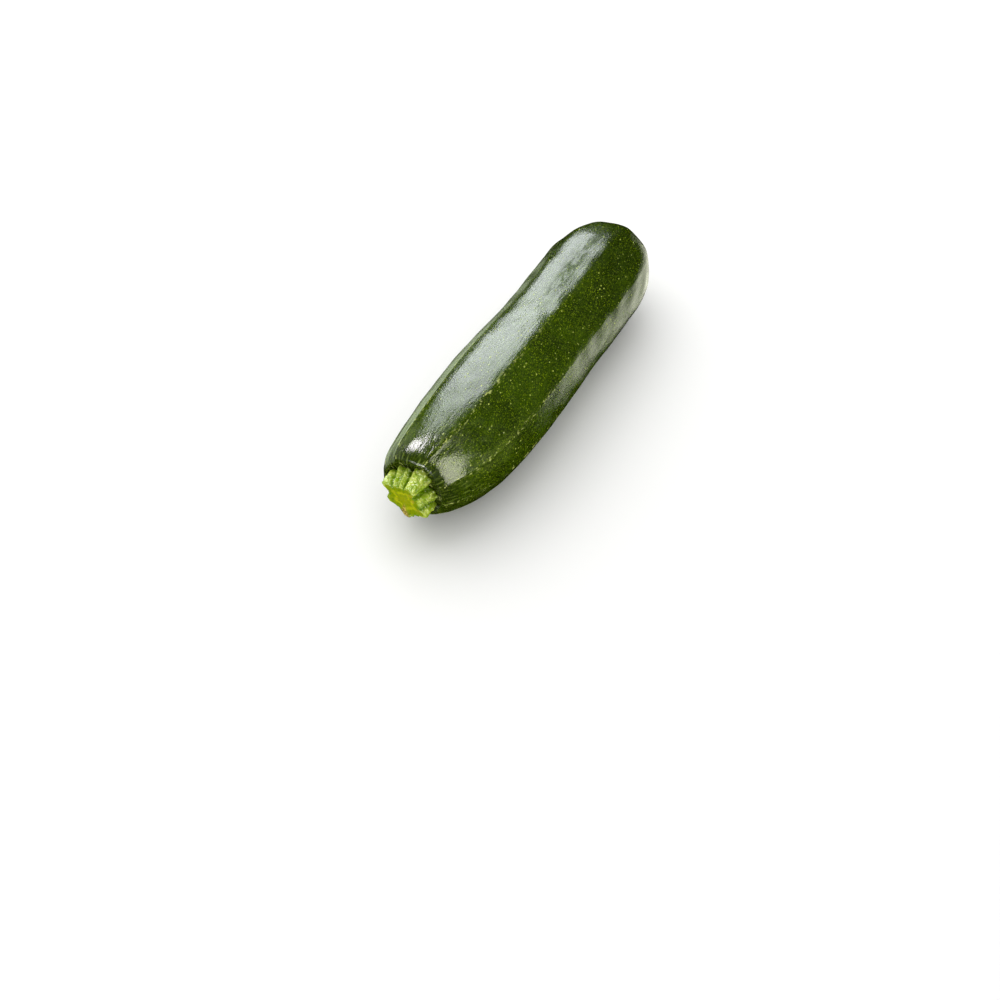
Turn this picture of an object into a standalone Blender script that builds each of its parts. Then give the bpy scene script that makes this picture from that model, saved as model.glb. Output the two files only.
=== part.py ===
"""A whole courgette (Cucurbita pepo), as picked and trimmed, lying on its side.

Two pieces: the ribbed dark green fruit and the stub of its cut stem.

Frame: metres, +Z up, +X from the stem towards the blossom end. The fruit rests on
Z = 0, and the origin is under the middle of the whole object.
A station is a distance along the fruit from the plane of its shoulder, round the stem.
An angle goes round the fruit's own axis from +Z, towards +Y.
"""

import math

import bmesh
import bpy
import numpy as np

# Fruit, driving dimensions
FRUIT_LENGTH = 0.180
WAIST_RADIUS = 0.0230
SHOULDER_LENGTH = 0.040
SHOULDER_FULLNESS = 1.9
SHOULDER_LIP_RADIUS = 0.0138
BLOSSOM_END_LENGTH = 0.036
BLOSSOM_END_FULLNESS = 2.35

# Swellings: the share of the length they are at, how far they reach out, their spread
BELLY = (0.35, 0.0027, 0.24)
BLOSSOM_SWELLING = (0.80, 0.0011, 0.16)

# The dish round the stem, and the flower's scar at the other end
DISH_DEPTH = 0.0018
DISH_FLOOR_RADIUS = 0.0133
SCAR_RADIUS = 0.0046
SCAR_DEPTH = 0.0007
SCAR_NUB_RADIUS = 0.0014
SCAR_NUB_HEIGHT = 0.0010
SCAR_SURROUND = 1.25

# Their sections: each point's share of the radius and of the depth or height
DISH_SECTION = ((0.0, 1.0), (0.5, 1.0), (1.0, 1.0))
DISH_WALL_SHARE = 0.35
SCAR_SECTION = ((1.03, -0.2), (0.85, 0.6), (0.60, 1.0))
NUB_SECTION = ((1.2, 0.0), (1.0, 0.7), (0.4, 1.0), (0.0, 1.0))

# Cross-section: ten ridges with flatter facets between them
RIDGE_ANGLES = (-164, -133, -101, -64, -16, 37, 69, 101, 133, 164)
FACET_SHARPNESS = 24
FACET_SHARE_STEM = 0.65
FACET_SHARE_BLOSSOM = 0.52
GROOVE_DEPTH = 0.0008
GROOVE_WIDTH = 0.0050
GROOVE_REACH = 0.020
RIB_HEIGHT = 0.0003
RIB_WIDTH = 0.0011
RIB_REACH = 0.030
RELIEF_FULL_RADIUS = 0.0207

# The fruit's axis: a slight bow to one side, and an underside that curves up from
# a small flat spot below the centre of mass
SIDE_BOW = 0.0003
STEM_SIDE_SHIFT = 0.0055
STEM_RISE = 0.0012
STEM_BEND_REACH = 0.023
STEM_BEND_SHARPNESS = 1.4
UNDERSIDE_CURVE = 0.005
BALANCE_SHARE = 0.486
FLAT_DEPTH = 0.0005

# Stem
STEM_LENGTH = 0.0098
STEM_GAP = 0.0003
STEM_FLARE_SHARPNESS = 1.3
STEM_CUT_BEVEL = 0.0005
STEM_CUT_SHARE = 0.95
STEM_CUT_SLOPE_DEG = 3.0
FLUTE_DEPTH = 0.00025
FLUTES = 23

# The stem's lobed outline at its cut and at its foot: the angle and radius of each crest
# and valley. It runs from one to the other.
STEM_AT_CUT = (
    (-171, 0.0107),
    (-152, 0.0092),
    (-134, 0.0096),
    (-117, 0.0124),
    (-101, 0.0080),
    (-84, 0.0084),
    (-68, 0.0086),
    (-54, 0.0066),
    (-40, 0.0085),
    (-26, 0.0098),
    (-13, 0.0102),
    (-3, 0.0082),
    (8, 0.0094),
    (18, 0.0086),
    (28, 0.0098),
    (38, 0.0084),
    (58, 0.0123),
    (78, 0.0072),
    (108, 0.0087),
    (154, 0.0067),
)
STEM_AT_FOOT = (
    (-172, 0.0118),
    (-156, 0.0104),
    (-142, 0.0108),
    (-126, 0.0126),
    (-114, 0.0102),
    (-100, 0.0108),
    (-84, 0.0100),
    (-68, 0.0074),
    (-42, 0.0112),
    (-25, 0.0126),
    (-9, 0.0118),
    (10, 0.0086),
    (20, 0.0104),
    (29, 0.0097),
    (40, 0.0118),
    (55, 0.0102),
    (76, 0.0126),
    (98, 0.0100),
    (118, 0.0114),
    (150, 0.0096),
)

# Mesh resolution
PLACES_BETWEEN_RIDGES = (0.0, 0.07, 0.22, 0.41, 0.59, 0.78, 0.93)
BARREL_RINGS = 30
SHOULDER_RINGS = 11
BLOSSOM_RINGS = 11
STEM_SEGMENTS = 120
STEM_RINGS = 7
MERGE_DISTANCE = 1e-6
SHARP_ANGLE_DEG = 40.0

# Finish
SKIN_COLOR = (0.028, 0.075, 0.005, 1.0)
SKIN_ROUGHNESS = 0.3
STEM_COLOR = (0.36, 0.47, 0.06, 1.0)
STEM_ROUGHNESS = 0.5


def clear_scene():
    for obj in list(bpy.data.objects):
        bpy.data.objects.remove(obj)


def make_material(name, color, roughness):
    material = bpy.data.materials.new(name)
    material.use_nodes = True
    shader = material.node_tree.nodes["Principled BSDF"]
    shader.inputs["Base Color"].default_value = color
    shader.inputs["Roughness"].default_value = roughness
    shader.inputs["Metallic"].default_value = 0.0
    material.diffuse_color = color
    return material


def barrel_radius(station):
    """The mean radius of the body, without its rounded ends."""
    share = np.clip(station / FRUIT_LENGTH, 0.0, 1.0)
    radius = WAIST_RADIUS
    for place, height, spread in (BELLY, BLOSSOM_SWELLING):
        radius = radius + height * np.exp(-(((share - place) / spread) ** 2))
    return radius


def round_off(distance, length, fullness):
    """From 0 at an end of the fruit to 1 where its rounding is over, as a superellipse."""
    left = 1.0 - np.clip(distance / length, 0.0, 1.0)
    return (1.0 - left**fullness) ** (1.0 / fullness)


def fruit_radius(station):
    """Mean radius with the shoulder and the blossom end rounded off."""
    lip_share = SHOULDER_LIP_RADIUS / barrel_radius(0.0)
    shoulder = lip_share + (1.0 - lip_share) * round_off(
        station, SHOULDER_LENGTH, SHOULDER_FULLNESS
    )
    blossom = round_off(
        FRUIT_LENGTH - station, BLOSSOM_END_LENGTH, BLOSSOM_END_FULLNESS
    )
    return barrel_radius(station) * shoulder * blossom


def fruit_profile():
    """(station, radius) of each ring, from the middle of the dish to the scar's nub."""
    dish = [(depth * DISH_DEPTH, share * DISH_FLOOR_RADIUS) for share, depth in DISH_SECTION]
    wall_radius = 0.5 * (DISH_FLOOR_RADIUS + SHOULDER_LIP_RADIUS)
    dish += [(DISH_WALL_SHARE * DISH_DEPTH, wall_radius), (0.0, SHOULDER_LIP_RADIUS)]
    shoulder_turns = np.linspace(0.0, 0.5 * math.pi, SHOULDER_RINGS + 1)[1:]
    shoulder = SHOULDER_LENGTH * (1.0 - np.cos(shoulder_turns))
    barrel_end = FRUIT_LENGTH - BLOSSOM_END_LENGTH
    barrel = np.linspace(SHOULDER_LENGTH, barrel_end, BARREL_RINGS + 1)[1:]
    scar_turn = math.asin(SCAR_SURROUND * SCAR_RADIUS / barrel_radius(FRUIT_LENGTH))
    blossom_turns = np.linspace(0.5 * math.pi, scar_turn, BLOSSOM_RINGS + 1)[1:]
    blossom = FRUIT_LENGTH - BLOSSOM_END_LENGTH * (1.0 - np.cos(blossom_turns))
    stations = np.concatenate([shoulder, barrel, blossom])
    body = list(zip(stations, fruit_radius(stations)))
    tip = body[-1][0]
    scar = [(tip - depth * SCAR_DEPTH, share * SCAR_RADIUS) for share, depth in SCAR_SECTION]
    foot = tip - SCAR_DEPTH
    nub = [
        (foot + rise * SCAR_NUB_HEIGHT, share * SCAR_NUB_RADIUS)
        for share, rise in NUB_SECTION
    ]
    return dish + body + scar + nub


def turned(name, profile, steps):
    """A mesh turned from a profile of (height, radius), about Z, closed at both poles."""
    outline = bpy.data.meshes.new(name + "_outline")
    points = [(radius, 0.0, height) for height, radius in profile]
    edges = [(i, i + 1) for i in range(len(points) - 1)]
    outline.from_pydata(points, edges, [])
    blank = bpy.data.objects.new(name + "_blank", outline)
    bpy.context.scene.collection.objects.link(blank)
    screw = blank.modifiers.new("Turn", "SCREW")
    screw.steps = steps
    screw.render_steps = steps
    screw.use_merge_vertices = True
    screw.merge_threshold = MERGE_DISTANCE
    evaluated = blank.evaluated_get(bpy.context.evaluated_depsgraph_get())
    mesh = bpy.data.meshes.new_from_object(evaluated)
    bpy.data.objects.remove(blank)
    bpy.data.meshes.remove(outline)
    mesh.name = name
    return mesh


def close_and_face_out(mesh):
    """Makes each pole one vertex and turns every face outwards."""
    shell = bmesh.new()
    shell.from_mesh(mesh)
    bmesh.ops.remove_doubles(shell, verts=shell.verts, dist=MERGE_DISTANCE)
    bmesh.ops.recalc_face_normals(shell, faces=shell.faces)
    shell.to_mesh(mesh)
    shell.free()


def ridge_angles():
    return np.radians(np.array(RIDGE_ANGLES, float))


def segment_angle(turn):
    """Moves evenly spaced turns from 0 to 1 so that a vertex falls on every ridge."""
    ridges = ridge_angles()
    gaps = np.diff(np.append(ridges, ridges[0] + 2.0 * math.pi))
    places = len(PLACES_BETWEEN_RIDGES)
    steps = np.round(turn * len(ridges) * places).astype(int) % (len(ridges) * places)
    fractions = np.array(PLACES_BETWEEN_RIDGES)[steps % places]
    return ridges[steps // places] + fractions * gaps[steps // places]


def facet_shape(angle):
    """Radius of a rounded polygon of unit size that has its corners at the ridges."""
    ridges = ridge_angles()
    facets = 0.5 * (ridges + np.append(ridges[1:], ridges[0] + 2.0 * math.pi))
    facing = np.clip(np.cos(angle[:, None] - facets[None, :]), 0.0, None)
    return (facing**FACET_SHARPNESS).sum(axis=1) ** (-1.0 / FACET_SHARPNESS)


def to_nearest_ridge(angle):
    """How far round each angle is from the nearest ridge, in radians."""
    away = angle[:, None] - ridge_angles()[None, :]
    return np.abs((away + math.pi) % (2.0 * math.pi) - math.pi).min(axis=1)


def section_radius(station, radius, angle):
    """The fruit's radius at a station and angle, from the mean radius there."""
    share = np.clip(station / FRUIT_LENGTH, 0.0, 1.0)
    facet_share = FACET_SHARE_STEM + (FACET_SHARE_BLOSSOM - FACET_SHARE_STEM) * share
    shape = 1.0 + facet_share * (facet_shape(angle) - 1.0)
    arc = to_nearest_ridge(angle) * radius
    groove = GROOVE_DEPTH * np.exp(-station / GROOVE_REACH - (arc / GROOVE_WIDTH) ** 2)
    rib = RIB_HEIGHT * np.exp(-station / RIB_REACH - (arc / RIB_WIDTH) ** 2)
    # Both fade out across the shoulder, towards the dish
    out = (radius - DISH_FLOOR_RADIUS) / (RELIEF_FULL_RADIUS - DISH_FLOOR_RADIUS)
    return radius * shape + np.clip(out, 0.0, 1.0) * (rib - groove)


def axis_point(station):
    """(Y, Z) of the fruit's own axis at a station."""
    share = np.clip(station / FRUIT_LENGTH, -0.1, 1.0)
    from_stem = np.clip(station, 0.0, None) / STEM_BEND_REACH
    bend = np.exp(-(from_stem**STEM_BEND_SHARPNESS))
    side = SIDE_BOW * (1.0 - (2.0 * share - 1.0) ** 2) + STEM_SIDE_SHIFT * bend
    lift = UNDERSIDE_CURVE * (share - BALANCE_SHARE) ** 2 + STEM_RISE * bend
    height = barrel_radius(station) - FLAT_DEPTH + lift
    return side, height


def lay_down(station, radius, angle, axis_station):
    """Places points round the point of the fruit's axis that axis_station gives."""
    side, height = axis_point(axis_station)
    points = np.empty((len(station), 3))
    points[:, 0] = station
    points[:, 1] = side + radius * np.sin(angle)
    points[:, 2] = height + radius * np.cos(angle)
    return points


def read_turned(mesh):
    """(height, radius, turn from 0 to 1) of each vertex of a mesh turned about Z."""
    points = np.empty(3 * len(mesh.vertices))
    mesh.vertices.foreach_get("co", points)
    x, y, height = points.reshape(-1, 3).T
    return height, np.hypot(x, y), (np.arctan2(y, x) / (2.0 * math.pi)) % 1.0


def put_points(mesh, points):
    mesh.vertices.foreach_set("co", points.astype(np.float32).ravel())
    mesh.update()


def make_fruit(collection):
    segments = len(RIDGE_ANGLES) * len(PLACES_BETWEEN_RIDGES)
    mesh = turned("fruit", fruit_profile(), segments)
    station, radius, turn = read_turned(mesh)
    angle = segment_angle(turn)
    points = lay_down(station, section_radius(station, radius, angle), angle, station)
    # The flat spot that it rests on
    points[:, 2] = np.maximum(points[:, 2], 0.0)
    put_points(mesh, points)
    close_and_face_out(mesh)
    skin = make_material("skin", SKIN_COLOR, SKIN_ROUGHNESS)
    return add_piece(collection, "fruit", mesh, skin)


def between_corners(corners, turn):
    """(angle, radius) at each share of a turn round a list of corners, eased between them."""
    angles, radii = np.array(corners + corners[:1]).T
    angles[-1] += 360.0
    place = turn * len(corners)
    before = np.minimum(np.floor(place).astype(int), len(corners) - 1)
    part = place - before
    ease = 0.5 - 0.5 * np.cos(math.pi * part)
    angle = angles[before] + part * (angles[before + 1] - angles[before])
    radius = radii[before] + ease * (radii[before + 1] - radii[before])
    return np.radians(angle), radius


def stem_outline(turn, rise):
    """(angle, radius) of the stem's side, from its foot at a rise of 0 to its cut at 1."""
    angle, radius = between_corners(STEM_AT_CUT, turn)
    foot_angle, foot_radius = between_corners(STEM_AT_FOOT, turn)
    foot_share = np.clip(1.0 - rise, 0.0, 1.0) ** STEM_FLARE_SHARPNESS
    angle = angle + foot_share * (foot_angle - angle)
    radius = radius + foot_share * (foot_radius - radius)
    return angle, radius + FLUTE_DEPTH * np.cos(2.0 * math.pi * FLUTES * turn)


def stem_profile():
    """(distance back from the stem's foot, share of the outline) of each ring."""
    side_length = STEM_LENGTH - STEM_CUT_BEVEL
    foot = [(0.0, 0.0), (0.0, 0.5)]
    side = [(back, 1.0) for back in np.linspace(0.0, side_length, STEM_RINGS)]
    cut = [(STEM_LENGTH, share) for share in (STEM_CUT_SHARE, 0.5, 0.0)]
    return foot + side + cut


def make_stem(collection):
    mesh = turned("stem", stem_profile(), STEM_SEGMENTS)
    back, share, turn = read_turned(mesh)
    angle, radius = stem_outline(turn, back / STEM_LENGTH)
    radius = share * radius
    slope = math.tan(math.radians(STEM_CUT_SLOPE_DEG)) * (back / STEM_LENGTH)
    station = DISH_DEPTH - STEM_GAP - back - slope * radius * np.cos(angle)
    put_points(mesh, lay_down(station, radius, angle, np.zeros_like(station)))
    close_and_face_out(mesh)
    stalk = make_material("stem", STEM_COLOR, STEM_ROUGHNESS)
    return add_piece(collection, "stem", mesh, stalk)


def add_piece(collection, name, mesh, material):
    mesh.materials.append(material)
    mesh.shade_smooth()
    mesh.set_sharp_from_angle(angle=math.radians(SHARP_ANGLE_DEG))
    obj = bpy.data.objects.new(name, mesh)
    collection.objects.link(obj)
    return obj


def centre_over_origin(pieces):
    """Moves the pieces along X and Y so that the origin is under the middle of them all."""
    corners = np.array([v.co for piece in pieces for v in piece.data.vertices])
    middle = 0.5 * (corners.min(axis=0) + corners.max(axis=0))
    for piece in pieces:
        points = np.array([v.co for v in piece.data.vertices])
        points[:, :2] -= middle[:2]
        put_points(piece.data, points)


def main():
    clear_scene()
    collection = bpy.data.collections.new("courgette")
    bpy.context.scene.collection.children.link(collection)
    pieces = [make_fruit(collection), make_stem(collection)]
    centre_over_origin(pieces)


main()
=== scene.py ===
"""Looks of a whole courgette lying on its side: speckled glossy skin and a freshly cut stem.

The fine meshes repeat the solids' own shape rules at a higher resolution and add the relief
that is too fine for the solids. A station is a distance along the fruit from the plane of
its shoulder, round the stem. An angle goes round the fruit's own axis from +Z, towards +Y.
Everything is in metres, in the frame of the solids.
"""

import math

import bpy
import numpy as np
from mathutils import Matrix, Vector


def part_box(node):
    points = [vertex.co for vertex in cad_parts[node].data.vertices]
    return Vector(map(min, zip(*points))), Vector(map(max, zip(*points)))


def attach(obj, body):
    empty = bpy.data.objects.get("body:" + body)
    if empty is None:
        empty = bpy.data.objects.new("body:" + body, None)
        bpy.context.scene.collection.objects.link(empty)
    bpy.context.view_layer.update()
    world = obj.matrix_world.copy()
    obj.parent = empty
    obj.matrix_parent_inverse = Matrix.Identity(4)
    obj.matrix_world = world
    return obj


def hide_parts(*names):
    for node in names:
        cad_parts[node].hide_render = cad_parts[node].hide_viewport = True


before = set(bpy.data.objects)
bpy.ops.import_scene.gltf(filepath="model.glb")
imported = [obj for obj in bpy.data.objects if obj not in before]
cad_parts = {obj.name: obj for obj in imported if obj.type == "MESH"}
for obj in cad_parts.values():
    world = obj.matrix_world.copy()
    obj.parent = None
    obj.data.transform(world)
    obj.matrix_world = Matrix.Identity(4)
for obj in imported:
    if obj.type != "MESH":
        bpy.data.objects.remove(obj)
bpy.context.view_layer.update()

# Fruit, as in the solids
FRUIT_LENGTH = 0.180
WAIST_RADIUS = 0.0230
SHOULDER_LENGTH = 0.040
SHOULDER_FULLNESS = 1.9
SHOULDER_LIP_RADIUS = 0.0138
BLOSSOM_END_LENGTH = 0.036
BLOSSOM_END_FULLNESS = 2.35
BELLY = (0.35, 0.0027, 0.24)
BLOSSOM_SWELLING = (0.80, 0.0011, 0.16)
DISH_DEPTH = 0.0018
DISH_FLOOR_RADIUS = 0.0133
SCAR_RADIUS = 0.0046
SCAR_DEPTH = 0.0007
SCAR_NUB_RADIUS = 0.0014
SCAR_NUB_HEIGHT = 0.0010
SCAR_SURROUND = 1.25
RIDGE_ANGLES = (-164, -133, -101, -64, -16, 37, 69, 101, 133, 164)
FACET_SHARPNESS = 24
FACET_SHARE_STEM = 0.65
FACET_SHARE_BLOSSOM = 0.52
GROOVE_DEPTH = 0.0008
GROOVE_WIDTH = 0.0050
GROOVE_REACH = 0.020
RIB_HEIGHT = 0.0003
RIB_WIDTH = 0.0011
RIB_REACH = 0.030
RELIEF_FULL_RADIUS = 0.0207
SIDE_BOW = 0.0003
STEM_SIDE_SHIFT = 0.0055
STEM_RISE = 0.0012
STEM_BEND_REACH = 0.023
STEM_BEND_SHARPNESS = 1.4
UNDERSIDE_CURVE = 0.005
BALANCE_SHARE = 0.486
FLAT_DEPTH = 0.0005

# Stem, as in the solids
STEM_LENGTH = 0.0098
STEM_GAP = 0.0003
STEM_FLARE_SHARPNESS = 1.3
STEM_CUT_BEVEL = 0.0005
STEM_CUT_SLOPE_DEG = 3.0
FLUTE_DEPTH = 0.00025
FLUTES = 23
STEM_AT_CUT = (
    (-171, 0.0107),
    (-152, 0.0092),
    (-134, 0.0096),
    (-117, 0.0124),
    (-101, 0.0080),
    (-84, 0.0084),
    (-68, 0.0086),
    (-54, 0.0066),
    (-40, 0.0085),
    (-26, 0.0098),
    (-13, 0.0102),
    (-3, 0.0082),
    (8, 0.0094),
    (18, 0.0086),
    (28, 0.0098),
    (38, 0.0084),
    (58, 0.0123),
    (78, 0.0072),
    (108, 0.0087),
    (154, 0.0067),
)
STEM_AT_FOOT = (
    (-172, 0.0118),
    (-156, 0.0104),
    (-142, 0.0108),
    (-126, 0.0126),
    (-114, 0.0102),
    (-100, 0.0108),
    (-84, 0.0100),
    (-68, 0.0074),
    (-42, 0.0112),
    (-25, 0.0126),
    (-9, 0.0118),
    (10, 0.0086),
    (20, 0.0104),
    (29, 0.0097),
    (40, 0.0118),
    (55, 0.0102),
    (76, 0.0126),
    (98, 0.0100),
    (118, 0.0114),
    (150, 0.0096),
)

# Resolution of the fine meshes. The shares place single rings on the faces at the ends, as
# shares of the face's radius.
SKIN_SEGMENTS = 360
DISH_RING_SHARES = (0.3, 0.6, 0.85, 1.0)
LIP_RINGS = 7
SHOULDER_RINGS = 45
BARREL_RINGS = 151
BLOSSOM_RINGS = 43
SCAR_RINGS = 17
SCAR_MIDDLE_SHARE = 0.02
STEM_SEGMENTS = 540
STEM_FOOT_SHARES = (0.4, 0.8)
STEM_RINGS = 40
ROUND_RINGS = 9
CUT_RINGS = 25
CUT_MIDDLE_SHARE = 0.03

# Fine relief that only these meshes have. They lie a little inside the solids to leave
# room for it.
SKIN_INSET = 0.00012
SCAR_INSET = 0.00003
STEM_INSET = 0.00030

# The skin's waves change this fast from end to end. They grow from a share of the length
# on, up to the factor at the blossom end.
SKIN_WAVE = 0.00010
SKIN_WAVES_ALONG = 2.0 * math.pi
TIP_WAVE_START = 0.60
TIP_WAVE_FACTOR = 1.5

# Each ridge comes to a crease that stands this far above the facets beside it
CREASE_HEIGHT = 0.00016
CREASE_WIDTH = 0.0016

# The scar slopes down over a share of its radius, and its cork ends at so many radii
SCAR_SLOPE_SHARE = 0.35
SCAR_CORK_REACH = 1.6

# The pale lines by the stem change this fast from end to end
COLLAR_LINES_ALONG = 3.0

# Lumps and fibres on the stem's side, mostly smoothed away on its cut, and grain on the
# cut. The last values say how fast they change along the stem and inwards on the cut.
STEM_LUMPS = 0.00030
STEM_FIBRES = 0.00009
CUT_SMOOTHING = 0.8
CUT_GRAIN = 0.00012
CUT_DISH_DEPTH = 0.0006
LUMPS_ALONG = 160.0
FIBRES_ALONG = 120.0
GRAIN_INWARD = 9.0
SPOKES_INWARD = 2.0

# The edge of the cut is bevelled inwards by a share of its radius. The stem's upper lobes
# are rounded further back and further inwards, most of all at this angle.
CUT_BEVEL_SHARE = 0.05
CUT_ROUND_ANGLE_DEG = -20.0
CUT_ROUND_FOCUS = 1.5
CUT_ROUND_LENGTH = 0.0010
CUT_ROUND_SHARE = 0.06

# From its rim inwards, the cut changes from the stem's side to flesh over this share
CUT_RIM_SHARE = 0.12

# From a valley of the stem to the crest of a lobe, and how many points each way are taken
# for the mean outline between them
LOBE_HEIGHT = 0.0024
LOBE_REACH = STEM_SEGMENTS // 14

# The darker foot of the stem's side, as a share of the stem's length
DARK_FOOT_SHARE = 0.35

# A dull streak along the top of the fruit, towards its blossom end
DULL_ANGLE_DEG = 3.0
DULL_WIDTH_DEG = 8.0

# A dried spot low on the cut's rim
DRY_SPOT_ANGLE_DEG = 180.0
DRY_SPOT_WIDTH_DEG = 14.0
DRY_SPOT_REACH = 0.003

# Where along the fruit the look of its skin changes, each from one station to another
# Painted shade darkens the skin round the stem over these stations
PAINTED_SHADE_BY_STEM = (0.0, 0.012)
DARKER_AT_TIP = (0.100, 0.160)
DASHES_FADE = (0.004, 0.130)
COLLAR_LINES_FADE = (0.0, 0.034)
PITS_START = (0.010, 0.045)
GLOSS_FADES = (0.015, 0.060)
DULL_PATCHES_START = (0.085, 0.125)
DULL_ALL_ROUND_START = (0.150, 0.170)

# How fine the textures are: noise and speck cells, about this many to a metre
PATCH_SCALE = 60.0
CROWD_SCALE = 45.0
STREAK_SCALE = 420.0
GRAIN_SCALE = 2100.0
DARK_GRAIN_SCALE = 1500.0
FINE_SPECK_SCALE = 1650.0
LARGE_SPECK_SCALE = 700.0
DASH_SCALE = 900.0
CRUMB_SCALE = 1100.0
GLOSS_SCALE = 300.0
DULL_SCALE = 420.0
PIT_SCALE = 1800.0
LONG_DENT_SCALE = 260.0
FURROW_SCALE = 900.0
VEIN_SCALE = 900.0
BLOTCH_SCALE = 380.0
FLECK_SCALE = 900.0
FIBRE_SCALE = 1300.0
TAN_SCALE = 260.0
STEM_DENT_SCALE = 420.0
FLOOR_TINT_SCALE = 3.0

# The finest textures of the skin are drawn out a little along the fruit, by 1 / this
FINE_ALONG = 0.7

# How deep the textures' bumps are
PIT_DEPTH = 0.00012
CRUMB_DEPTH = 0.0006
SPECK_DEPTH = 0.00008
LONG_DENT_DEPTH = 0.0006
FURROW_DEPTH = 0.00012
FIBRE_DEPTH = 0.00035
STEM_DENT_DEPTH = 0.0006

# How far light spreads under the surface
LIGHT_SPREAD = 0.002

# Camera: where it looks from, and the pixel of the square picture that the object's
# middle falls on
CAMERA_AZIMUTH_DEG = -61.4
CAMERA_ELEVATION_DEG = 45.0
CAMERA_DISTANCE = 1.035
CAMERA_LENS_MM = 85.0
SENSOR_MM = 36.0
PICTURE_PIXELS = 1000
MIDDLE_PIXEL = (522.5, 365.5)
MIDDLE_HEIGHT = 0.0255
CAMERA_CLIP_START = 0.01

# Soft boxes round the object. Each has a name, an azimuth and an elevation in degrees, a
# distance, a width, a height, a radiance and a colour. The key isn't mirrored.
KEY_LIGHT = ("key_behind", 52.0, 52.0, 1.3, 2.2, 2.2, 0.85, (1.0, 1.0, 0.98))

# The panels that the skin mirrors add no other light. The low ones stand in for the
# bright table at each side, because the floor itself isn't mirrored.
MIRRORED_PANELS = (
    ("panel_behind", 42.5, 36.0, 1.0, 0.59, 0.80, 10.6, (0.92, 0.97, 1.0)),
    ("panel_left", 90.0, 50.0, 1.2, 0.30, 0.46, 42.0, (1.0, 0.95, 1.0)),
    ("panel_right", -112.0, 26.0, 1.2, 0.48, 1.07, 12.0, (1.0, 1.0, 0.78)),
    ("panel_stem", 174.0, 20.0, 1.0, 0.66, 0.26, 24.0, (1.0, 1.0, 1.0)),
    ("low_right", -22.0, -25.0, 0.30, 0.24, 0.14, 2.4, (0.98, 1.0, 0.80)),
    ("low_front", -82.0, -5.0, 0.60, 0.30, 0.41, 1.6, (0.80, 1.0, 0.20)),
    ("low_left", 86.0, -25.0, 0.45, 0.72, 0.22, 1.4, (0.86, 1.0, 0.70)),
    ("side_left", 104.0, 16.0, 1.0, 1.30, 0.42, 1.2, (0.90, 1.0, 0.70)),
)
WORLD_STRENGTH = 0.90

FLOOR_HALF_SIZE = 4.0
FLOOR_CLEARANCE = 0.0001

UP = np.array([0.0, 0.0, 1.0])


def barrel_radius(station):
    """The mean radius of the body, without its rounded ends."""
    share = np.clip(station / FRUIT_LENGTH, 0.0, 1.0)
    radius = WAIST_RADIUS
    for place, height, spread in (BELLY, BLOSSOM_SWELLING):
        radius = radius + height * np.exp(-(((share - place) / spread) ** 2))
    return radius


def round_off(distance, length, fullness):
    """From 0 at an end of the fruit to 1 where its rounding is over, as a superellipse."""
    left = 1.0 - np.clip(distance / length, 0.0, 1.0)
    return (1.0 - left**fullness) ** (1.0 / fullness)


def fruit_radius(station):
    """Mean radius with the shoulder and the blossom end rounded off."""
    lip_share = SHOULDER_LIP_RADIUS / barrel_radius(0.0)
    shoulder = lip_share + (1.0 - lip_share) * round_off(
        station, SHOULDER_LENGTH, SHOULDER_FULLNESS
    )
    blossom = round_off(
        FRUIT_LENGTH - station, BLOSSOM_END_LENGTH, BLOSSOM_END_FULLNESS
    )
    return barrel_radius(station) * shoulder * blossom


def ridge_angles():
    return np.radians(np.array(RIDGE_ANGLES, float))


def facet_shape(angle):
    """Radius of a rounded polygon of unit size that has its corners at the ridges."""
    ridges = ridge_angles()
    facets = 0.5 * (ridges + np.append(ridges[1:], ridges[0] + 2.0 * math.pi))
    facing = np.clip(np.cos(angle[..., None] - facets), 0.0, None)
    return (facing**FACET_SHARPNESS).sum(axis=-1) ** (-1.0 / FACET_SHARPNESS)


def to_nearest_ridge(angle):
    """How far round each angle is from the nearest ridge, in radians."""
    away = angle[..., None] - ridge_angles()
    return np.abs((away + math.pi) % (2.0 * math.pi) - math.pi).min(axis=-1)


def section_radius(station, radius, angle):
    """The fruit's radius at a station and angle, from the mean radius there."""
    share = np.clip(station / FRUIT_LENGTH, 0.0, 1.0)
    facet_share = FACET_SHARE_STEM + (FACET_SHARE_BLOSSOM - FACET_SHARE_STEM) * share
    shape = 1.0 + facet_share * (facet_shape(angle) - 1.0)
    arc = to_nearest_ridge(angle) * radius
    groove = GROOVE_DEPTH * np.exp(-station / GROOVE_REACH - (arc / GROOVE_WIDTH) ** 2)
    rib = RIB_HEIGHT * np.exp(-station / RIB_REACH - (arc / RIB_WIDTH) ** 2)
    # Both fade out across the shoulder, towards the dish
    out = (radius - DISH_FLOOR_RADIUS) / (RELIEF_FULL_RADIUS - DISH_FLOOR_RADIUS)
    return radius * shape + np.clip(out, 0.0, 1.0) * (rib - groove)


def axis_point(station):
    """(Y, Z) of the fruit's own axis at a station."""
    share = np.clip(station / FRUIT_LENGTH, 0.0, 1.0)
    from_stem = np.clip(station, 0.0, None) / STEM_BEND_REACH
    bend = np.exp(-(from_stem**STEM_BEND_SHARPNESS))
    side = SIDE_BOW * (1.0 - (2.0 * share - 1.0) ** 2) + STEM_SIDE_SHIFT * bend
    lift = UNDERSIDE_CURVE * (share - BALANCE_SHARE) ** 2 + STEM_RISE * bend
    height = barrel_radius(station) - FLAT_DEPTH + lift
    return side, height


def lay_down(station, radius, angle, axis_station):
    """Places points round the point of the fruit's axis that axis_station gives."""
    side, height = axis_point(axis_station)
    y = side + radius * np.sin(angle)
    z = height + radius * np.cos(angle)
    return np.stack([station, y, z], axis=-1)


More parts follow.
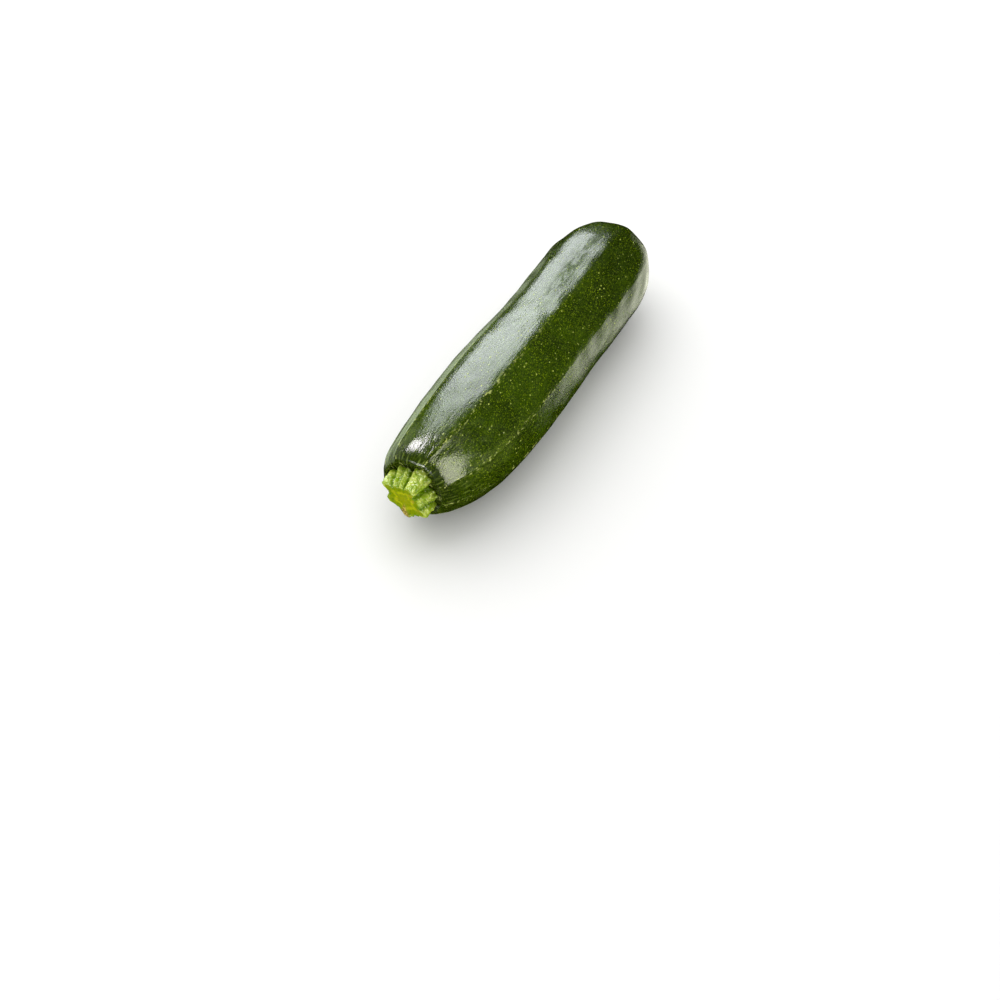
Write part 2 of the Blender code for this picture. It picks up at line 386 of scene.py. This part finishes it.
def waves(u, v, lowest, highest, count, seed):
    """Smooth seeded noise in about -1 to 1, periodic in u, with waves lowest to highest."""
    draw = np.random.default_rng(seed)
    total = np.zeros(np.broadcast(u, v).shape)
    for _ in range(count):
        around = draw.integers(lowest, highest + 1)
        along = draw.uniform(-highest, highest)
        total += np.cos(around * u + along * v + draw.uniform(0.0, 2.0 * math.pi))
    return total / math.sqrt(count)


def centre_across(points, node):
    """Moves points along Y so that they lie midway across a node."""
    low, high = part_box(node)
    middle = 0.5 * (points[..., 1].min() + points[..., 1].max())
    points[..., 1] += 0.5 * (low.y + high.y) - middle


def corner_map(corners):
    """(u, v) of every face's corners in turn, from arrays of u and v for each corner."""
    pairs = [np.stack(np.broadcast_arrays(u, v), axis=-1) for u, v in corners]
    return np.stack(pairs, axis=1).reshape(-1, 2)


def tube_map(count, around):
    """The map of a tube's faces: the angle across and the rings upwards."""
    left = np.arange(around) / around
    right = left + 1.0 / around
    middle = 0.5 * (left + right)
    levels = (np.arange(count) + 1.0) / (count + 1.0)
    low = np.repeat(levels[:-1], around)
    high = np.repeat(levels[1:], around)
    lefts = np.tile(left, count - 1)
    rights = np.tile(right, count - 1)
    parts = [
        corner_map([(lefts, low), (lefts, high), (rights, high), (rights, low)]),
        corner_map([(middle, 0.0), (left, levels[0]), (right, levels[0])]),
        corner_map([(middle, 1.0), (right, levels[-1]), (left, levels[-1])]),
    ]
    return np.concatenate(parts)


def tube_mesh(name, rings, attributes):
    """A closed tube from rings x segments x 3 points, with one point in each end ring.

    attributes maps a name to an array of rings x segments values."""
    count, around, _ = rings.shape
    ends = [rings[0].mean(axis=0), rings[-1].mean(axis=0)]
    points = np.concatenate([rings.reshape(-1, 3), ends])
    here = np.arange(count * around).reshape(count, around)
    after = np.roll(here, -1, axis=1)
    quads = np.stack([here[:-1], here[1:], after[1:], after[:-1]], axis=-1).reshape(-1, 4)
    first = np.full(around, count * around)
    start_cap = np.stack([first, here[0], after[0]], axis=-1)
    end_cap = np.stack([first + 1, after[-1], here[-1]], axis=-1)
    mesh = bpy.data.meshes.new(name)
    mesh.from_pydata(points.tolist(), [], quads.tolist() + start_cap.tolist() + end_cap.tolist())
    mesh.update()
    uv_map = mesh.uv_layers.new(name="OFBake")
    uv_map.data.foreach_set("uv", tube_map(count, around).astype(np.float32).ravel())
    for key, values in attributes.items():
        layer = mesh.attributes.new(key, "FLOAT", "POINT")
        flat = np.concatenate([values.ravel(), [values[0].mean(), values[-1].mean()]])
        layer.data.foreach_set("value", flat.astype(np.float32))
    mesh.shade_smooth()
    return mesh


def add_piece(name, mesh, material, node):
    mesh.materials.append(material)
    obj = bpy.data.objects.new(name, mesh)
    bpy.context.scene.collection.objects.link(obj)
    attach(obj, "root")
    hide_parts(node)


def skin_rings():
    """(station, mean radius) of the skin's rings, from the dish's floor to the scar's nub."""
    floor = [(DISH_DEPTH, share * DISH_FLOOR_RADIUS) for share in DISH_RING_SHARES]
    turns = np.linspace(0.0, 0.5 * math.pi, LIP_RINGS)
    lip_round = SHOULDER_LIP_RADIUS - DISH_FLOOR_RADIUS
    lip_stations = lip_round * (1.0 - np.sin(turns))
    lip = list(zip(lip_stations, SHOULDER_LIP_RADIUS - lip_round * np.cos(turns)))

    turns = np.linspace(0.0, 0.5 * math.pi, SHOULDER_RINGS + 1)[1:]
    shoulder = SHOULDER_LENGTH * (1.0 - np.cos(turns))
    barrel_end = FRUIT_LENGTH - BLOSSOM_END_LENGTH
    barrel = np.linspace(SHOULDER_LENGTH, barrel_end, BARREL_RINGS + 1)[1:]
    scar_turn = math.asin(SCAR_SURROUND * SCAR_RADIUS / barrel_radius(FRUIT_LENGTH))
    turns = np.linspace(0.5 * math.pi, scar_turn, BLOSSOM_RINGS + 1)[1:]
    blossom = FRUIT_LENGTH - BLOSSOM_END_LENGTH * (1.0 - np.cos(turns))
    stations = np.concatenate([shoulder, barrel, blossom])
    body = list(zip(stations, fruit_radius(stations)))
    return np.array(floor + lip + body + scar_rings(*body[-1]))


def scar_rings(tip, edge):
    """Rings of the flower's scar, from the edge round it in to the top of its nub."""
    radius = np.linspace(edge, SCAR_MIDDLE_SHARE * SCAR_RADIUS, SCAR_RINGS + 1)[1:]
    into = np.clip((SCAR_RADIUS - radius) / (SCAR_SLOPE_SHARE * SCAR_RADIUS), 0.0, 1.0)
    dip = SCAR_DEPTH * into * into * (3.0 - 2.0 * into)
    nub = SCAR_NUB_HEIGHT * np.exp(-((radius / SCAR_NUB_RADIUS) ** 2))
    return list(zip(tip - SCAR_INSET - dip + nub, radius))


def make_skin():
    station, mean_radius = skin_rings().T
    angle = np.linspace(-math.pi, math.pi, SKIN_SEGMENTS, endpoint=False)
    station, angle = np.meshgrid(station, angle, indexing="ij")
    mean_radius = np.broadcast_to(mean_radius[:, None], station.shape)
    share = station / FRUIT_LENGTH
    at_tip = np.clip((share - TIP_WAVE_START) / (1.0 - TIP_WAVE_START), 0.0, 1.0)
    relief = waves(angle, SKIN_WAVES_ALONG * share, lowest=2, highest=14, count=24, seed=11)
    relief = SKIN_WAVE * relief * (1.0 + (TIP_WAVE_FACTOR - 1.0) * at_tip)
    arc = to_nearest_ridge(angle) * mean_radius
    crease = CREASE_HEIGHT * (1.0 - np.exp(-arc / CREASE_WIDTH))
    on_body = np.clip(mean_radius / WAIST_RADIUS, 0.0, 1.0) ** 2
    radius = section_radius(station, mean_radius, angle)
    radius = radius + (relief - crease - SKIN_INSET) * on_body

    points = lay_down(station, radius, angle, station)
    points[..., 2] = np.maximum(points[..., 2], 0.0)
    low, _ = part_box("fruit")
    points[..., 0] += low.x
    centre_across(points, "fruit")

    lines = waves(angle, COLLAR_LINES_ALONG * share, lowest=30, highest=80, count=40, seed=21)
    attributes = {
        "station": station,
        "dull": np.exp(-(((np.degrees(angle) - DULL_ANGLE_DEG) / DULL_WIDTH_DEG) ** 2)),
        "ridge": np.exp(-((arc / RIB_WIDTH) ** 2)),
        "line": lines,
        "scar": np.clip(SCAR_CORK_REACH - mean_radius / SCAR_RADIUS, 0.0, 1.0) * (share > 0.5),
    }
    mesh = tube_mesh("fruit_skin", points, attributes)
    add_piece("fruit_skin", mesh, skin_material(), "fruit")


def between_corners(corners, turn):
    """(angle, radius) at each share of a turn round a list of corners, eased between them."""
    angles, radii = np.array(corners + corners[:1]).T
    angles[-1] += 360.0
    place = turn * len(corners)
    before = np.minimum(np.floor(place).astype(int), len(corners) - 1)
    part = place - before
    ease = 0.5 - 0.5 * np.cos(math.pi * part)
    angle = angles[before] + part * (angles[before + 1] - angles[before])
    radius = radii[before] + ease * (radii[before + 1] - radii[before])
    return np.radians(angle), radius


def stem_outline(turn, rise):
    """(angle, radius) of the stem's side, from its foot at a rise of 0 to its cut at 1."""
    angle, radius = between_corners(STEM_AT_CUT, turn)
    foot_angle, foot_radius = between_corners(STEM_AT_FOOT, turn)
    foot_share = np.clip(1.0 - rise, 0.0, 1.0) ** STEM_FLARE_SHARPNESS
    angle = angle + foot_share * (foot_angle - angle)
    radius = radius + foot_share * (foot_radius - radius)
    return angle, radius + FLUTE_DEPTH * np.cos(2.0 * math.pi * FLUTES * turn)


def stem_rings(cut_angle):
    """(distance back from the foot, share of the outline, cut) of the stem's rings.

    cut is 0 on the stem's side and 1 on its cut face."""
    above = 0.5 + 0.5 * np.cos(cut_angle - math.radians(CUT_ROUND_ANGLE_DEG))
    above = above**CUT_ROUND_FOCUS
    round_back = STEM_CUT_BEVEL + CUT_ROUND_LENGTH * above
    round_in = CUT_BEVEL_SHARE + CUT_ROUND_SHARE * above

    foot = np.array(STEM_FOOT_SHARES)[:, None]
    rise = np.linspace(0.0, 1.0, STEM_RINGS)[:, None]
    over = np.linspace(0.0, 0.5 * math.pi, ROUND_RINGS + 1)[1:, None]
    inward = np.linspace(0.0, 1.0 - CUT_MIDDLE_SHARE, CUT_RINGS + 1)[1:, None]
    level = np.zeros_like(cut_angle)
    back = [
        0.0 * foot + level,
        rise * (STEM_LENGTH - round_back),
        STEM_LENGTH - round_back * (1.0 - np.sin(over)),
        STEM_LENGTH + 0.0 * inward + level,
    ]
    share = [
        foot + level,
        1.0 + 0.0 * rise + level,
        1.0 - round_in * (1.0 - np.cos(over)),
        (1.0 - round_in) * (1.0 - inward),
    ]
    cut = [np.zeros_like(rows) for rows in back[:3]]
    cut.append(np.clip(inward / CUT_RIM_SHARE, 0.0, 1.0) + level)
    return tuple(np.concatenate(rows) for rows in (back, share, cut))


def lobes(radius):
    """0 in the valleys between the lobes of each ring to 1 on the lobes' crests."""
    steps = range(-LOBE_REACH, LOBE_REACH + 1)
    mean = sum(np.roll(radius, step, axis=1) for step in steps) / len(steps)
    return np.clip(0.5 + (radius - mean) / LOBE_HEIGHT, 0.0, 1.0)


def make_stem():
    turn = np.arange(STEM_SEGMENTS) / STEM_SEGMENTS
    cut_angle, _ = stem_outline(turn, 1.0)
    back, share, cut = stem_rings(cut_angle)
    angle, outline = stem_outline(np.broadcast_to(turn, back.shape), back / STEM_LENGTH)
    lumps = waves(angle, LUMPS_ALONG * back, lowest=6, highest=26, count=30, seed=5)
    fibres = waves(angle, FIBRES_ALONG * back, lowest=40, highest=100, count=30, seed=6)
    relief = STEM_LUMPS * lumps + STEM_FIBRES * fibres
    radius = share * outline - STEM_INSET + relief * (share * (1.0 - CUT_SMOOTHING * cut))

    slope = math.tan(math.radians(STEM_CUT_SLOPE_DEG)) * (back / STEM_LENGTH)
    grain = waves(angle, GRAIN_INWARD * share, lowest=3, highest=16, count=20, seed=8)
    grain = CUT_GRAIN * grain * cut * share
    dish = CUT_DISH_DEPTH * cut * (1.0 - share) ** 2
    station = DISH_DEPTH - STEM_GAP - back - slope * radius * np.cos(angle)
    station = station + np.abs(grain) + dish
    points = lay_down(station, radius, angle, np.zeros_like(station))
    low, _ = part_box("stem")
    points[..., 0] += low.x - points[..., 0].min()
    centre_across(points, "stem")

    below = np.abs((np.degrees(angle) % 360.0) - DRY_SPOT_ANGLE_DEG) / DRY_SPOT_WIDTH_DEG
    near_edge = np.clip(1.0 - np.abs(back - STEM_LENGTH) / DRY_SPOT_REACH, 0.0, 1.0) * share
    spokes = waves(angle, SPOKES_INWARD * share, lowest=5, highest=17, count=14, seed=9)
    attributes = {
        "crest": lobes(outline),
        "cut": cut,
        "inward": 1.0 - share,
        "foot": np.clip(1.0 - back / (DARK_FOOT_SHARE * STEM_LENGTH), 0.0, 1.0),
        "dry": np.exp(-(below**2)) * near_edge,
        "spoke": spokes * cut,
    }
    # The rings run from the fruit towards -X, so they are turned round to face out
    flipped = {key: values[::-1] for key, values in attributes.items()}
    mesh = tube_mesh("stem_stub", points[::-1], flipped)
    add_piece("stem_stub", mesh, stem_material(), "stem")


class Graph:
    """Adds nodes to a material and links them. A value may be a number, a colour or a socket."""

    # A Mix node has sockets of each kind under the same names: these are its colour ones
    MIX_A = 6
    MIX_B = 7
    MIX_RESULT = 2

    def __init__(self, name):
        self.material = bpy.data.materials.new(name)
        self.material.use_nodes = True
        self.tree = self.material.node_tree
        self.shader = self.tree.nodes["Principled BSDF"]

    def set(self, socket, value):
        if isinstance(value, bpy.types.NodeSocket):
            self.tree.links.new(value, socket)
        else:
            socket.default_value = value

    def add(self, kind, output, inputs, **settings):
        node = self.tree.nodes.new(kind)
        for key, value in settings.items():
            setattr(node, key, value)
        for key, value in inputs.items():
            self.set(node.inputs[key], value)
        return node.outputs[output]

    def principled(self, **values):
        for key, value in values.items():
            self.set(self.shader.inputs[key.replace("_", " ")], value)

    def place(self, along=1.0):
        """Object coordinates in metres. A texture is stretched along X by 1 / along."""
        place = self.add("ShaderNodeTexCoord", "Object", {})
        inputs = {0: place, 1: (along, 1.0, 1.0)}
        return self.add("ShaderNodeVectorMath", "Vector", inputs, operation="MULTIPLY")

    def attribute(self, name):
        return self.add("ShaderNodeAttribute", "Fac", {}, attribute_name=name)

    def math(self, operation, a, b=0.0, clamp=False):
        inputs = {0: a, 1: b}
        return self.add(
            "ShaderNodeMath", "Value", inputs, operation=operation, use_clamp=clamp
        )

    def times(self, *factors):
        product = factors[0]
        for factor in factors[1:]:
            product = self.math("MULTIPLY", product, factor)
        return product

    def blend(self, factor, a, b):
        """Colour a where factor is 0 and b where it is 1."""
        node = self.tree.nodes.new("ShaderNodeMix")
        node.data_type = "RGBA"
        self.set(node.inputs["Factor"], factor)
        self.set(node.inputs[self.MIX_A], a)
        self.set(node.inputs[self.MIX_B], b)
        return node.outputs[self.MIX_RESULT]

    def spread(self, value, low, high, to_low=0.0, to_high=1.0):
        """value mapped smoothly from low..high to to_low..to_high, and held there."""
        inputs = {
            "Value": value,
            "From Min": low,
            "From Max": high,
            "To Min": to_low,
            "To Max": to_high,
        }
        return self.add(
            "ShaderNodeMapRange", "Result", inputs, interpolation_type="SMOOTHSTEP"
        )

    def noise(self, place, scale, detail=2.0, roughness=0.5):
        inputs = {"Vector": place, "Scale": scale, "Detail": detail, "Roughness": roughness}
        return self.add("ShaderNodeTexNoise", "Fac", inputs)

    def spots(self, place, scale, smallest, largest, softness=0.06):
        """1 inside round spots of varied size, one in each cell, and 0 between them."""
        cells = self.tree.nodes.new("ShaderNodeTexVoronoi")
        self.set(cells.inputs["Vector"], place)
        self.set(cells.inputs["Scale"], scale)
        draw = self.add("ShaderNodeSeparateColor", "Red", {"Color": cells.outputs["Color"]})
        reach = self.spread(draw, 0.0, 1.0, smallest, largest)
        inside = self.math("SUBTRACT", reach, cells.outputs["Distance"])
        return self.spread(inside, -softness, softness)

    def bump(self, height, distance, strength=1.0, normal=None):
        inputs = {"Height": height, "Distance": distance, "Strength": strength}
        if normal is not None:
            inputs["Normal"] = normal
        return self.add("ShaderNodeBump", "Normal", inputs)


def srgb(red, green, blue):
    """A colour given as 0 to 255 in sRGB, as linear RGBA."""
    values = [
        v / 12.92 if v <= 0.04045 else ((v + 0.055) / 1.055) ** 2.4
        for v in (red / 255.0, green / 255.0, blue / 255.0)
    ]
    return (*values, 1.0)


# Colours of the skin
SKIN_DARK = srgb(31, 47, 0)
SKIN_LIGHT = srgb(45, 66, 0)
# The darkest green, for the dark grain and the darker blossom end, and also painted shade round
# the stem
SKIN_DARKEST_AND_PAINTED_SHADE = srgb(20, 32, 0)
SKIN_STREAK = srgb(64, 86, 2)
SKIN_GRAIN = srgb(86, 110, 4)
FINE_SPECK = srgb(124, 146, 6)
LARGE_SPECK = srgb(188, 202, 84)
RIDGE_DASH = srgb(190, 198, 110)
COLLAR_LINE = srgb(120, 138, 54)
CORK_DARK = srgb(96, 80, 36)
CORK_LIGHT = srgb(196, 172, 112)
CORK_RIM = srgb(58, 52, 14)

# Colours of the stem's side and of its cut
LOBE_GREEN = srgb(146, 176, 14)
LOBE_PALE = srgb(198, 214, 88)
# The valleys' own green, darkened further as painted shade
VALLEY_GREEN_AND_PAINTED_SHADE = srgb(108, 142, 0)
SIDE_FLECK = srgb(228, 234, 170)
FOOT_GREEN = srgb(84, 118, 6)
FLESH_DARK = srgb(124, 148, 0)
FLESH_LIGHT = srgb(147, 161, 2)
FLESH_SPOKE = srgb(98, 128, 0)
FLESH_RING = srgb(184, 188, 12)
FLESH_MIDDLE = srgb(158, 162, 5)
FLESH_TAN = srgb(186, 168, 44)
DRIED_DARK = srgb(112, 84, 20)
DRIED_LIGHT = srgb(214, 192, 96)

FLOOR_DARKER = (0.88, 0.88, 0.87, 1.0)
FLOOR_LIGHTER = (0.90, 0.90, 0.89, 1.0)


def skin_green(g, station):
    """Dark green with soft patches, lengthwise streaks and fine grain, darker towards the blossom
    end, and with painted shade round the stem.
    """
    patches = g.spread(g.noise(g.place(), PATCH_SCALE, 3.0, 0.55), 0.34, 0.68)
    color = g.blend(patches, SKIN_DARK, SKIN_LIGHT)
    streaks = g.spread(g.noise(g.place(along=0.10), STREAK_SCALE), 0.50, 0.75)
    color = g.blend(g.times(streaks, 0.35), color, SKIN_STREAK)
    along = g.place(along=FINE_ALONG)
    grain = g.spread(g.noise(along, GRAIN_SCALE, 2.0, 0.6), 0.46, 0.66)
    color = g.blend(g.times(grain, 0.65), color, SKIN_GRAIN)
    dark_grain = g.spread(g.noise(along, DARK_GRAIN_SCALE, 3.0, 0.6), 0.50, 0.68)
    color = g.blend(g.times(dark_grain, 0.6), color, SKIN_DARKEST_AND_PAINTED_SHADE)
    # Painted shade darkens the skin round the stem; towards the blossom end it is darker too
    painted_shade_by_stem = g.spread(station, *PAINTED_SHADE_BY_STEM, 0.5, 0.0)
    painted_shade_and_darker_tip = g.math("ADD", painted_shade_by_stem, g.spread(station, *DARKER_AT_TIP, 0.0, 0.4))
    return g.blend(painted_shade_and_darker_tip, color, SKIN_DARKEST_AND_PAINTED_SHADE)


def add_specks(g, color):
    """Two sizes of pale specks, thicker in some places. Returns where the large ones are too."""
    crowd = g.spread(g.noise(g.place(), CROWD_SCALE), 0.35, 0.65, 0.45, 1.0)
    along = g.place(along=FINE_ALONG)
    fine = g.spots(along, FINE_SPECK_SCALE, -0.08, 0.36)
    color = g.blend(g.times(fine, crowd, 0.85), color, FINE_SPECK)
    specks = g.spots(along, LARGE_SPECK_SCALE, -0.22, 0.21)
    return g.blend(g.times(specks, crowd, 0.9), color, LARGE_SPECK), specks


def add_dashes(g, color, station):
    """Along the ridges the specks run together into pale dashes, above all near the stem."""
    dashes = g.spread(g.noise(g.place(along=0.45), DASH_SCALE, 2.0, 0.6), 0.55, 0.64)
    on_ridge = g.spread(g.attribute("ridge"), 0.2, 0.9)
    near_stem = g.spread(station, *DASHES_FADE, 1.0, 0.0)
    return g.blend(g.times(dashes, on_ridge, near_stem, 0.9), color, RIDGE_DASH)


def add_collar_lines(g, color, station):
    """By the stem, thin pale lines run along the skin."""
    lines = g.spread(g.attribute("line"), 0.1, 1.6)
    collar = g.spread(station, *COLLAR_LINES_FADE, 0.6, 0.0)
    return g.blend(g.times(lines, collar), color, COLLAR_LINE)


def add_scar(g, color, crumbs):
    """The flower's scar: cork with a ragged dark rim. Returns where the cork is too."""
    ragged = g.math("ADD", g.attribute("scar"), g.math("SUBTRACT", crumbs, 0.5))
    cork = g.blend(g.spread(crumbs, 0.35, 0.65), CORK_DARK, CORK_LIGHT)
    cork = g.blend(g.spread(ragged, 0.45, 0.80), CORK_RIM, cork)
    scar = g.spread(ragged, 0.30, 0.42)
    return g.blend(scar, color, cork), scar


def dull_places(g, station):
    """Towards the blossom end the skin is dull in patches, along one streak above all."""
    patchy = g.spread(g.noise(g.place(along=0.4), DULL_SCALE, 5.0, 0.70), 0.38, 0.60)
    all_round = g.spread(station, *DULL_ALL_ROUND_START, 0.15, 0.7)
    dull = g.math("ADD", g.attribute("dull"), all_round)
    dull = g.times(dull, g.math("ADD", g.times(patchy, 0.65), 0.30))
    return g.math("MULTIPLY", dull, g.spread(station, *DULL_PATCHES_START), clamp=True)


def skin_roughness(g, station, specks, scar, dull):
    """The skin is glossiest round the stem, and rough where it is specked, corky or dull."""
    rough = g.spread(g.noise(g.place(), GLOSS_SCALE, 3.0), 0.3, 0.7, 0.06, 0.14)
    rough = g.math("ADD", rough, g.spread(station, *GLOSS_FADES, 0.07, 0.11))
    rough = g.math("ADD", rough, g.times(specks, 0.10))
    rough = g.math("ADD", rough, g.times(scar, 0.4), clamp=True)
    return g.math("ADD", rough, g.times(dull, 0.06), clamp=True)


def skin_normal(g, station, specks, scar, crumbs):
    """Pits, the cork's crumbs, proud specks, long dents and fine lengthwise furrows."""
    pits = g.noise(g.place(along=FINE_ALONG), PIT_SCALE)
    pits = g.times(pits, g.spread(station, *PITS_START, 0.5, 1.0))
    normal = g.bump(pits, PIT_DEPTH, 0.9)
    normal = g.bump(g.times(crumbs, scar), CRUMB_DEPTH, 0.8, normal)
    normal = g.bump(specks, SPECK_DEPTH, 0.6, normal)
    dents = g.noise(g.place(along=0.15), LONG_DENT_SCALE)
    normal = g.bump(dents, LONG_DENT_DEPTH, 0.3, normal)
    furrows = g.noise(g.place(along=0.12), FURROW_SCALE)
    return g.bump(furrows, FURROW_DEPTH, 0.6, normal)


def skin_material():
    g = Graph("courgette_skin")
    station = g.attribute("station")
    crumbs = g.noise(g.place(), CRUMB_SCALE, 3.0, 0.6)
    color, specks = add_specks(g, skin_green(g, station))
    color = add_dashes(g, color, station)
    color = add_collar_lines(g, color, station)
    color, scar = add_scar(g, color, crumbs)
    dull = dull_places(g, station)
    rough = skin_roughness(g, station, specks, scar, dull)
    normal = skin_normal(g, station, specks, scar, crumbs)
    g.principled(Base_Color=color, Roughness=rough, Normal=normal, IOR=1.41)
    g.principled(Specular_IOR_Level=g.spread(dull, 0.0, 1.0, 0.5, 0.10))
    g.principled(Subsurface_Weight=0.04, Subsurface_Radius=(0.3, 1.0, 0.1))
    g.principled(Subsurface_Scale=LIGHT_SPREAD)
    return g.material


def stem_side(g, crest, veins):
    """Colour of the side: pale lobes and darker green valleys, partly their own tone and partly
    painted light on the crests and painted shade in the valleys, and fine lighter veins and
    flecks.
    """
    # Paler towards the crests and darker in the valleys: partly the stem's own tone, partly
    # painted light and painted shade
    pale = g.spread(g.math("ADD", crest, g.times(veins, 0.9)), 0.56, 1.08)
    blotches = g.spread(g.noise(g.place(), BLOTCH_SCALE, 3.0), 0.38, 0.62)
    side = g.blend(pale, VALLEY_GREEN_AND_PAINTED_SHADE, g.blend(blotches, LOBE_GREEN, LOBE_PALE))
    flecks = g.spots(g.place(), FLECK_SCALE, -0.05, 0.30)
    side = g.blend(g.times(flecks, 0.6), side, SIDE_FLECK)
    return g.blend(g.times(g.attribute("foot"), 0.3), side, FOOT_GREEN)


def stem_flesh(g, fibres):
    """Colour of the cut: darker spokes, a bright ring and a yellower middle."""
    flesh = g.blend(g.spread(fibres, 0.35, 0.7), FLESH_DARK, FLESH_LIGHT)
    spokes = g.spread(g.attribute("spoke"), 0.0, 1.2, 0.0, 0.7)
    flesh = g.blend(spokes, flesh, FLESH_SPOKE)
    inward = g.attribute("inward")
    ring = g.times(g.spread(inward, 0.36, 0.48), g.spread(inward, 0.52, 0.64, 1.0, 0.0))
    flesh = g.blend(g.times(ring, fibres, 1.6), flesh, FLESH_RING)
    middle = g.spread(inward, 0.50, 0.90, 0.0, 0.75)
    return g.blend(middle, flesh, FLESH_MIDDLE)


def add_tan_and_dried(g, color, cut, fibres):
    """Tan patches on the cut, and a dried spot low on its rim."""
    tan = g.spread(g.noise(g.place(), TAN_SCALE), 0.62, 0.70, 0.0, 0.6)
    color = g.blend(g.times(tan, cut), color, FLESH_TAN)
    dried = g.blend(g.spread(fibres, 0.42, 0.60), DRIED_DARK, DRIED_LIGHT)
    return g.blend(g.spread(g.attribute("dry"), 0.15, 0.6, 0.0, 0.9), color, dried)


def stem_material():
    g = Graph("courgette_stem")
    along = g.place(along=0.25)
    crest = g.attribute("crest")
    cut = g.attribute("cut")
    veins = g.noise(along, VEIN_SCALE, 3.0, 0.6)
    fibres = g.noise(g.place(), FIBRE_SCALE, 3.0, 0.6)

    # The cut's flesh meets the side in a ragged rim
    ragged = g.math("ADD", cut, g.times(fibres, 0.8))
    color = g.blend(g.spread(ragged, 0.6, 1.2), stem_side(g, crest, veins), stem_flesh(g, fibres))
    color = add_tan_and_dried(g, color, cut, fibres)

    rough = g.math("ADD", g.spread(veins, 0.3, 0.7, 0.12, 0.34), g.times(cut, 0.25))
    normal = g.bump(g.noise(along, FIBRE_SCALE, 3.0, 0.6), FIBRE_DEPTH, 0.8)
    normal = g.bump(g.noise(g.place(), STEM_DENT_SCALE), STEM_DENT_DEPTH, 0.9, normal)
    g.principled(Base_Color=color, Roughness=rough, Normal=normal)

    # The cut and the valleys are less glossy than the lobes
    shine = g.times(g.spread(crest, 0.2, 0.7, 0.35, 1.0), g.spread(cut, 0.0, 1.0, 0.6, 0.04))
    g.principled(Specular_IOR_Level=shine)
    g.principled(Subsurface_Weight=0.15, Subsurface_Radius=(0.6, 1.0, 0.2))
    g.principled(Subsurface_Scale=LIGHT_SPREAD)
    return g.material


def floor_material():
    g = Graph("studio_floor")
    tint = g.noise(g.place(), FLOOR_TINT_SCALE)
    g.principled(Base_Color=g.blend(tint, FLOOR_DARKER, FLOOR_LIGHTER))
    g.principled(Roughness=0.7, Specular_IOR_Level=0.2)
    return g.material


def make_floor():
    signs = ((-1, -1), (1, -1), (1, 1), (-1, 1))
    corners = [(x * FLOOR_HALF_SIZE, y * FLOOR_HALF_SIZE, -FLOOR_CLEARANCE) for x, y in signs]
    mesh = bpy.data.meshes.new("floor")
    mesh.from_pydata(corners, [], [(0, 1, 2, 3)])
    mesh.materials.append(floor_material())
    floor = bpy.data.objects.new("floor", mesh)
    floor.visible_glossy = False
    bpy.context.scene.collection.objects.link(floor)


def unit(vector):
    vector = np.array(vector, float)
    return vector / np.linalg.norm(vector)


def look_along(direction):
    """Right and up of something that looks along a direction and stands upright."""
    right = unit(np.cross(direction, UP))
    return right, np.cross(right, direction)


def turn_to(obj, direction):
    """Points a camera or a lamp along a direction."""
    right, up = look_along(direction)
    matrix = np.eye(4)
    matrix[:3, 0] = right
    matrix[:3, 1] = up
    matrix[:3, 2] = -direction
    matrix[:3, 3] = obj.location
    obj.matrix_world = matrix.T.tolist()


def make_camera():
    azimuth = math.radians(CAMERA_AZIMUTH_DEG)
    elevation = math.radians(CAMERA_ELEVATION_DEG)
    level = np.array([-math.sin(azimuth), math.cos(azimuth), 0.0])
    sight = math.cos(elevation) * level - math.sin(elevation) * UP
    right, up = look_along(sight)
    focal_pixels = PICTURE_PIXELS * CAMERA_LENS_MM / SENSOR_MM
    off_right = (MIDDLE_PIXEL[0] - 0.5 * PICTURE_PIXELS) / focal_pixels
    off_up = (0.5 * PICTURE_PIXELS - MIDDLE_PIXEL[1]) / focal_pixels
    data = bpy.data.cameras.new("camera")
    data.lens = CAMERA_LENS_MM
    data.sensor_width = SENSOR_MM
    data.clip_start = CAMERA_CLIP_START
    camera = bpy.data.objects.new("camera", data)
    bpy.context.scene.collection.objects.link(camera)
    camera.location = MIDDLE_HEIGHT * UP - CAMERA_DISTANCE * sight
    turn_to(camera, unit(sight - off_right * right - off_up * up))
    bpy.context.scene.camera = camera


def softbox(name, azimuth_deg, elevation_deg, distance, width, height, radiance, color):
    """A rectangular lamp aimed at the object. The azimuth of its place is from +X towards +Y."""
    azimuth = math.radians(azimuth_deg)
    elevation = math.radians(elevation_deg)
    level = np.array([math.cos(azimuth), math.sin(azimuth), 0.0])
    towards = math.cos(elevation) * level + math.sin(elevation) * UP
    data = bpy.data.lights.new(name, "AREA")
    data.shape = "RECTANGLE"
    data.size = width
    data.size_y = height
    data.energy = math.pi * width * height * radiance
    data.color = color
    lamp = bpy.data.objects.new(name, data)
    bpy.context.scene.collection.objects.link(lamp)
    lamp.location = MIDDLE_HEIGHT * UP + distance * towards
    turn_to(lamp, -towards)
    return lamp


def make_light():
    key = softbox(*KEY_LIGHT)
    key.visible_glossy = False
    for panel in MIRRORED_PANELS:
        softbox(*panel).visible_diffuse = False
    world = bpy.data.worlds.new("studio")
    world.use_nodes = True
    background = world.node_tree.nodes["Background"]
    background.inputs["Color"].default_value = (1.0, 1.0, 1.0, 1.0)
    background.inputs["Strength"].default_value = WORLD_STRENGTH
    world.cycles_visibility.glossy = False
    bpy.context.scene.world = world
    bpy.context.scene.view_settings.view_transform = "Standard"


make_skin()
make_stem()
make_floor()
make_light()
make_camera()
